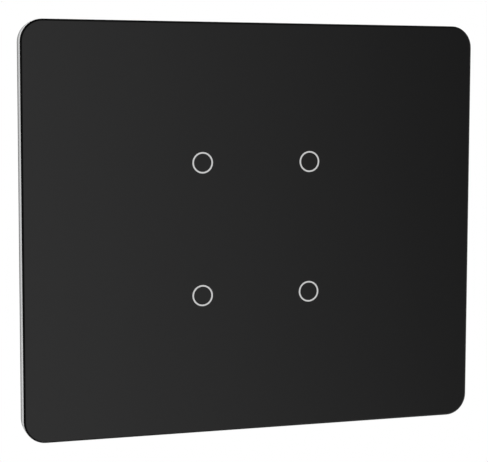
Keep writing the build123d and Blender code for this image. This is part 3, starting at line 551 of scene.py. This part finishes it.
def dress_switch():
    """Give every CAD node its finish."""
    dress_glass()
    zinc, metal, yellow, board = zinc_steel(), spring_steel(), brass(), circuit_board()
    enamel, grommet, lens = ring_enamel(), rubber(), lamp_lens()
    pale = moulded_plastic("housing_plastic", (0.66, 0.66, 0.64), (0.76, 0.76, 0.74), 0.5)
    black = moulded_plastic("black_moulding", (0.015, 0.015, 0.016), (0.03, 0.03, 0.031), 0.5)
    grey = moulded_plastic("frame_plastic", (0.14, 0.14, 0.14), (0.19, 0.19, 0.19), 0.55, sheen=0.1)
    slate = moulded_plastic("block_plastic", (0.055, 0.06, 0.065), (0.085, 0.09, 0.095), 0.5)
    finishes = {
        "adhesive_sheet": foam_tape(),
        "panel_frame": grey,
        "mounting_yoke": zinc,
        "module_cover": pale,
        "rear_housing": pale,
        "touch_board": board,
        "power_board": board,
        "insulation_sheet": fibre_sheet(),
        "touch_chip": black,
        "pin_header": black,
        "header_socket": black,
        "terminal_block": slate,
        "housing_screws": zinc,
    }
    for stem, count, material in (
        ("ring_mark", GANGS, enamel),
        ("peg_grommet", PEGS, grommet),
        ("touch_spring", GANGS, metal),
        ("indicator_led", GANGS, lens),
        ("terminal_contact", TERMINALS, yellow),
        ("terminal_clamp", TERMINALS, zinc),
        ("terminal_screw", TERMINALS, yellow),
    ):
        finishes.update({node: material for node in rows(stem, count)})
    for node, material in finishes.items():
        wear(node, material)
    relay = gloss_case("relay_case", (0.022, 0.09, 0.33), (0.035, 0.135, 0.45))
    cases = {
        "power_module": black,
        "filter_capacitor": gloss_case("capacitor_case", (0.55, 0.37, 0.04), (0.68, 0.48, 0.07)),
        "varistor": dipped_epoxy(),
        "fuse": gloss_case("fuse_case", (0.08, 0.055, 0.04), (0.13, 0.09, 0.065)),
        **{node: relay for node in rows("relay", GANGS)},
    }
    for node, material in cases.items():
        wear_leads(node, material, metal)


def new_piece(name, mesh, body):
    """Object for a finished mesh, which rides on a body."""
    piece = bpy.data.objects.new(name, mesh)
    bpy.context.scene.collection.objects.link(piece)
    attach(piece, body)
    return piece


def dome_pattern(material):
    """Domed solder joints on the pads of a board's face."""
    pattern = Pattern("solder_domes", "Joint Radius", "Joint Height")
    radius, height = pattern.given["Joint Radius"], pattern.given["Joint Height"]
    ball = pattern.add("GeometryNodeMeshUVSphere", Segments=JOINT_SIDES, Rings=JOINT_RINGS, Radius=1.0)
    size = pattern.add("ShaderNodeCombineXYZ", X=radius, Y=height, Z=radius)
    dome = pattern.add("GeometryNodeTransform", Geometry=ball.outputs["Mesh"], Scale=size.outputs["Vector"])
    pattern.repeat(dome.outputs["Geometry"], material)
    return pattern


def fillet_pattern(material):
    """Solder that climbs from a board's face up a lead, hollow between its foot and its neck."""
    pattern = Pattern("solder_fillets", "Foot Radius", "Neck Radius", "Joint Height", "Width")
    given = pattern.given
    cone = pattern.add("GeometryNodeMeshCone", {"fill_type": "NGON"}, Vertices=JOINT_SIDES,
                       Side_Segments=JOINT_RINGS, Radius_Top=given["Neck Radius"],
                       Radius_Bottom=given["Foot Radius"], Depth=given["Joint Height"])
    place = pattern.axes(pattern.add("GeometryNodeInputPosition").outputs["Position"])
    climb = pattern.combine("DIVIDE", place["Z"], given["Joint Height"])
    to_neck = pattern.combine("SUBTRACT", 1.0, climb)
    # The product of both shares is 1/4 at half height, where the flank is hollowed most.
    hollow = pattern.combine("MULTIPLY", climb, to_neck, 4.0 * JOINT_HOLLOW)
    slim = pattern.combine("SUBTRACT", 1.0, hollow)
    # The cone stands up along Z, and the joint stands out towards the room.
    joint = pattern.add("ShaderNodeCombineXYZ",
                        X=pattern.combine("MULTIPLY", place["X"], slim, given["Width"]),
                        Y=pattern.combine("MULTIPLY", place["Z"], -1.0),
                        Z=pattern.combine("MULTIPLY", place["Y"], slim))
    fillet = pattern.add("GeometryNodeSetPosition", Geometry=cone.outputs["Mesh"],
                         Position=joint.outputs["Vector"])
    pattern.repeat(fillet.outputs["Geometry"], material)
    return pattern


def solder_joints(name, pattern, points, sizes):
    """Solder joints at these points, as one piece on the base."""
    mesh = pattern.run(name, points, sizes)
    for face in mesh.polygons:
        face.use_smooth = True
    mesh.set_sharp_from_angle(angle=JOINT_FOLD)
    new_piece(name, mesh, "base")


def along(low, high, inset):
    """Two places, each this far in from one end."""
    return (low + inset, high - inset)


def solder_touch_board(domes, fillets):
    """Solder at lamp ends, spring feet and header pins on the room side of the touch board."""
    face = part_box("touch_board")[0].y
    pads = []
    for spring, lamp in zip(rows("touch_spring", GANGS), rows("indicator_led", GANGS)):
        low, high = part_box(lamp)
        middle = (low + high) / 2
        pads += [(x, face, middle.z) for x in (low.x, high.x)]
        low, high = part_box(spring)
        pads += [(x, face, middle.z + side * SPRING_FOOT_HALF_WIDTH)
                 for x in along(low.x, high.x, SPRING_FOOT_INSET) for side in (-1, 1)]
    solder_joints("touch_board_solder", domes, pads, PAD_JOINT)
    low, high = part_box("pin_header")
    pitch = (high.z - low.z) / HEADER_PINS
    pins = [(0.0, face, low.z + (pin + 0.5) * pitch) for pin in range(HEADER_PINS)]
    solder_joints("header_solder", fillets, pins, PIN_JOINT)


def solder_power_board(fillets):
    """Solder round every lead and contact tail on the room side of the power board."""
    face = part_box("power_board")[0].y
    leads = []
    for part in rows("relay", GANGS) + ["power_module"]:
        low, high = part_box(part)
        leads += [(x, face, z) for x in along(low.x, high.x, LEAD_INSET)
                  for z in along(low.z, high.z, LEAD_INSET)]
    for part, spacing in (("filter_capacitor", CAPACITOR_LEAD_SPACING), ("varistor", DISC_LEAD_SPACING),
                          ("fuse", DISC_LEAD_SPACING)):
        low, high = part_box(part)
        middle = (low + high) / 2
        leads += [(middle.x, face, middle.z + side * spacing / 2) for side in (-1, 1)]
    solder_joints("power_board_solder", fillets, leads, LEAD_JOINT)
    tails = []
    for contact in rows("terminal_contact", TERMINALS):
        low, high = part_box(contact)
        tails.append(((low.x + high.x) / 2, face, high.z - CONTACT_HALF_THICKNESS))
    solder_joints("contact_solder", fillets, tails, TAIL_JOINT)


def solder_boards():
    """All solder joints, in one finish."""
    material = solder()
    fillets = fillet_pattern(material)
    solder_touch_board(dome_pattern(material), fillets)
    solder_power_board(fillets)


def thread_pattern(name, node):
    """Right-hand V thread along Y: a strip with its crest in the middle, wound up turn against turn."""
    pattern = Pattern(name, "Thread Radius", "Thread Depth", "Pitch", "Turns")
    given = pattern.given
    segments = pattern.combine("MULTIPLY", given["Turns"], THREAD_SEGMENTS)
    strip = pattern.add("GeometryNodeMeshGrid", Size_X=given["Turns"], Size_Y=1.0,
                        Vertices_X=pattern.combine("ADD", segments, 1.0), Vertices_Y=3)
    # On the flat strip, X counts the turns, and Y goes from -1/2 to 1/2 across one pitch.
    place = pattern.axes(pattern.add("GeometryNodeInputPosition").outputs["Position"])
    angle = pattern.combine("MULTIPLY", place["X"], math.tau)
    off_crest = pattern.combine("MULTIPLY", pattern.function("ABSOLUTE", place["Y"]), 2.0)
    fall = pattern.combine("MULTIPLY", off_crest, given["Thread Depth"])
    radius = pattern.combine("SUBTRACT", given["Thread Radius"], fall)
    rise = pattern.combine("MULTIPLY", pattern.combine("ADD", place["X"], place["Y"]), given["Pitch"])
    wound = pattern.add("ShaderNodeCombineXYZ",
                        X=pattern.combine("MULTIPLY", radius, pattern.function("SINE", angle)),
                        Y=rise,
                        Z=pattern.combine("MULTIPLY", radius, pattern.function("COSINE", angle)))
    thread = pattern.add("GeometryNodeSetPosition", Geometry=strip.outputs["Mesh"],
                         Position=wound.outputs["Vector"])
    welded = pattern.add("GeometryNodeMergeByDistance", Geometry=thread.outputs["Geometry"], Distance=WELD)
    pattern.repeat(welded.outputs["Geometry"], finish_of(node))
    return pattern


def fill_holes(shape):
    """Close every open rim of a shape."""
    bmesh.ops.holes_fill(shape, edges=[edge for edge in shape.edges if edge.is_boundary])


def cut_shank(mesh, tip, seat):
    """Cut a wound thread square at the tip and under the head, and close both ends."""
    shape = bmesh.new()
    shape.from_mesh(mesh)
    for level, way in ((tip, -1.0), (seat, 1.0)):
        bmesh.ops.bisect_plane(shape, geom=shape.verts[:] + shape.edges[:] + shape.faces[:],
                               plane_co=(0.0, level, 0.0), plane_no=(0.0, way, 0.0), clear_outer=True)
    fill_holes(shape)
    bmesh.ops.recalc_face_normals(shape, faces=shape.faces)
    shape.to_mesh(mesh)
    shape.free()


def add_heads(mesh, node, seat):
    """Add the closed heads of a node's screws to the mesh of their shanks."""
    shape = bmesh.new()
    shape.from_mesh(nodes[node].data)
    bmesh.ops.remove_doubles(shape, verts=shape.verts, dist=WELD)
    plain_shank = [face for face in shape.faces if face.calc_center_median().y < seat - WELD]
    bmesh.ops.delete(shape, geom=plain_shank, context="FACES")
    fill_holes(shape)
    bmesh.ops.recalc_face_normals(shape, faces=shape.faces)
    shape.from_mesh(mesh)
    shape.to_mesh(mesh)
    shape.free()
    cad_normals = mesh.attributes.get("custom_normal")
    if cad_normals:
        mesh.attributes.remove(cad_normals)


def threaded_screw(name, node, body, pattern, screw, axes):
    """Replace a node's plain screws: the heads stay, and each shank gets its thread."""
    low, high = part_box(node)
    tip, seat = low.y, high.y - screw["head"]
    turns = math.ceil((seat - tip) / screw["pitch"]) + SPARE_TURNS
    mesh = pattern.run(name, [(x, (tip + seat) / 2, z) for x, z in axes], {
        "Thread Radius": screw["shank"] / 2,
        "Thread Depth": screw["depth"],
        "Pitch": screw["pitch"],
        "Turns": float(turns),
    })
    cut_shank(mesh, tip, seat)
    add_heads(mesh, node, seat)
    mesh.materials.clear()
    mesh.materials.append(finish_of(node))
    for face in mesh.polygons:
        face.material_index = 0
        face.use_smooth = True
    mesh.set_sharp_from_angle(angle=SCREW_FOLD)
    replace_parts(new_piece(name, mesh, body), node)


def thread_screws():
    """Threads on the six clamp screws and on the two long screws of the housing."""
    fine = thread_pattern("machine_thread", "terminal_screw_1")
    for pole, node in enumerate(rows("terminal_screw", TERMINALS), start=1):
        low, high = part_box(node)
        middle = (low + high) / 2
        threaded_screw(f"threaded_{node}", node, f"screw_{pole}", fine, TERMINAL_SCREW,
                       [(middle.x, middle.z)])
    low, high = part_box("housing_screws")
    left, right = along(low.x, high.x, SCREW_HEAD_RADIUS)
    lower, upper = along(low.z, high.z, SCREW_HEAD_RADIUS)
    threaded_screw("threaded_housing_screws", "housing_screws", "base",
                   thread_pattern("moulding_thread", "housing_screws"), HOUSING_SCREW,
                   [(left, upper), (right, lower)])


def place_camera():
    """Camera that repeats the photograph's standpoint."""
    yaw, pitch, roll = (math.radians(angle) for angle in (CAMERA_YAW, CAMERA_PITCH, CAMERA_ROLL))
    ahead = Vector((math.sin(yaw) * math.cos(pitch), math.cos(yaw) * math.cos(pitch), -math.sin(pitch)))
    level_right = Vector((math.cos(yaw), -math.sin(yaw), 0.0))
    level_up = level_right.cross(ahead)
    right = math.cos(roll) * level_right + math.sin(roll) * level_up
    up = -math.sin(roll) * level_right + math.cos(roll) * level_up
    lens = bpy.data.cameras.new("photo_camera")
    lens.lens, lens.sensor_width, lens.sensor_fit = LENS_MM, SENSOR_MM, "HORIZONTAL"
    lens.clip_start, lens.clip_end = VIEW_NEAR, VIEW_FAR
    camera = bpy.data.objects.new("photo_camera", lens)
    camera.matrix_world = Matrix((right, up, -ahead)).transposed().to_4x4()
    camera.location = CAMERA_PLACE
    bpy.context.scene.collection.objects.link(camera)
    bpy.context.scene.camera = camera


def soft_lamp(name, place, power):
    """Square soft light that faces the plate."""
    light = bpy.data.lights.new(name, "AREA")
    light.shape, light.size, light.energy = "SQUARE", SOFTBOX_SIZE, power
    lamp = bpy.data.objects.new(name, light)
    lamp.location = place
    lamp.rotation_mode = "QUATERNION"
    lamp.rotation_quaternion = (-Vector(place)).to_track_quat("-Z", "Y")
    lamp.visible_glossy = False
    bpy.context.scene.collection.objects.link(lamp)


def floor_paper():
    """Pale paper with a fine tooth, which fades out towards the rim and is clear from below."""
    finish = Finish("floor_paper", (FLOOR_GREY,) * 3, 0.9)
    tooth = finish.noise(COARSE_GRAIN, 2.0)
    darker, lighter = FLOOR_GREY - FLOOR_GREY_CHANGE, FLOOR_GREY + FLOOR_GREY_CHANGE
    finish.colour(finish.blend(tooth, (darker,) * 3, (lighter,) * 3))
    flat = finish.add("ShaderNodeVectorMath", {"operation": "MULTIPLY"})
    finish.feed(flat.inputs[0], finish.place)
    finish.feed(flat.inputs[1], (1.0, 1.0, 0.0))
    reach = finish.add("ShaderNodeVectorMath", {"operation": "LENGTH"}, Vector=flat.outputs["Vector"])
    solid = finish.spread(reach.outputs["Value"], FLOOR_PLAIN_RADIUS, FLOOR_RADIUS, 1.0, 0.0)
    below = finish.add("ShaderNodeNewGeometry").outputs["Backfacing"]
    above = finish.combine("SUBTRACT", 1.0, below)
    finish.feed(finish.shader.inputs["Alpha"], finish.combine("MULTIPLY", solid, above))
    return finish.material


def lay_floor():
    """Round pale floor under the switch, which takes its shadow."""
    mesh = bpy.data.meshes.new("floor")
    turns = [step * math.tau / FLOOR_SIDES for step in range(FLOOR_SIDES)]
    rim = [(FLOOR_RADIUS * math.cos(turn), FLOOR_RADIUS * math.sin(turn), cad_low.z - FLOOR_DROP)
           for turn in turns]
    mesh.from_pydata(rim, [], [tuple(range(FLOOR_SIDES))])
    mesh.materials.append(floor_paper())
    floor = bpy.data.objects.new("floor", mesh)
    bpy.context.scene.collection.objects.link(floor)


def light_world():
    """White backdrop; in the gloss also a pale wall on the room side, darker above, and soft side walls."""
    world = bpy.data.worlds.new("studio")
    bpy.context.scene.world = world
    world.use_nodes = True
    world.node_tree.nodes.clear()
    work = NodeWork(world.node_tree)

    def fade(value, directions, first, last):
        """Soft change from first to last between two directions."""
        return work.spread(value, *directions, first, last, easing="SMOOTHSTEP")

    way = work.axes(work.add("ShaderNodeTexCoord").outputs["Generated"])
    tilted = work.combine("ADD", way["X"], work.combine("MULTIPLY", way["Z"], WALL_TILT))
    to_right = fade(tilted, RIGHT_FADE, 1.0, RIGHT_SHARE)
    to_left = fade(way["X"], LEFT_FADE, LEFT_SHARE, 1.0)
    overhead = fade(way["Z"], OVERHEAD_FADE, 1.0, OVERHEAD_SHARE)
    wall = work.combine("MULTIPLY", to_right, to_left, overhead, WALL_LEVEL)
    sides = fade(work.combine("MULTIPLY", way["X"], way["X"]), SIDE_FADE, 0.0, SIDE_LEVEL)
    backdrop = fade(way["Y"], BACKDROP_FADE, 0.0, 1.0)
    path = work.add("ShaderNodeLightPath").outputs
    gloss = work.combine("MULTIPLY", path["Is Glossy Ray"], work.combine("MAXIMUM", backdrop, wall, sides))
    fill = work.combine("MULTIPLY", path["Is Diffuse Ray"], FILL_LEVEL)
    level = work.combine("MAXIMUM", path["Is Camera Ray"], path["Is Transmission Ray"], gloss, fill)
    background = work.add("ShaderNodeBackground", Color=(1.0, 1.0, 1.0, 1.0), Strength=level)
    work.add("ShaderNodeOutputWorld", Surface=background.outputs["Background"])


bpy.context.scene.view_settings.view_transform = "Standard"
place_camera()
lay_floor()
light_world()
for softbox in SOFTBOXES:
    soft_lamp(*softbox)
dress_switch()
solder_boards()
thread_screws()
